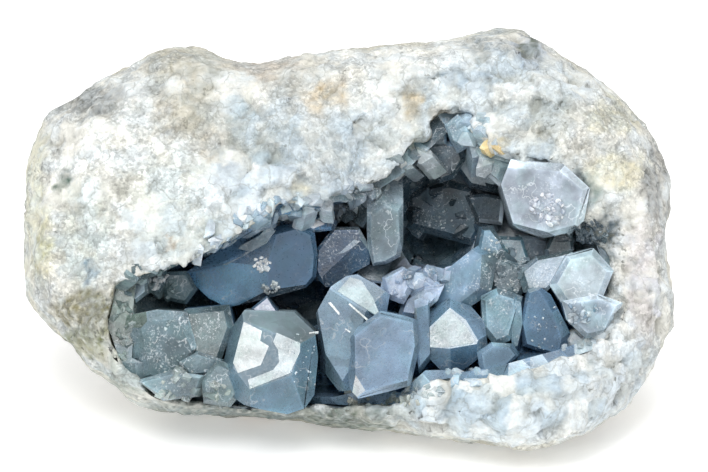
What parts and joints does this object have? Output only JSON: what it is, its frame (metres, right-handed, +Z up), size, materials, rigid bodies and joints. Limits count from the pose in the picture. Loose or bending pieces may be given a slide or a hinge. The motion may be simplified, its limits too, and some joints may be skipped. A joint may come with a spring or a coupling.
{
  "type": "celestite geode",
  "caption": "Half of a pale limestone nodule with a broken front face and a hollow lined with pale to steel-blue bladed crystals, resting on a small flat.",
  "frame": {"origin": "on the surface that it rests on, under the middle of its bounding box", "axes": "+Z up, +X to the right along the length, -Y towards whoever looks into the hollow"},
  "size_m": [0.1699, 0.121, 0.0942],
  "materials": {
    "rock": "rough chalky limestone, white with grey-green and tan patches",
    "crystal": "clear to milky sky-blue crystal with flat glossy faces"
  },
  "bodies": {
    "root": {"geode_shell": "rock", "crystal_crust": "crystal"}
  },
  "joints": []
}
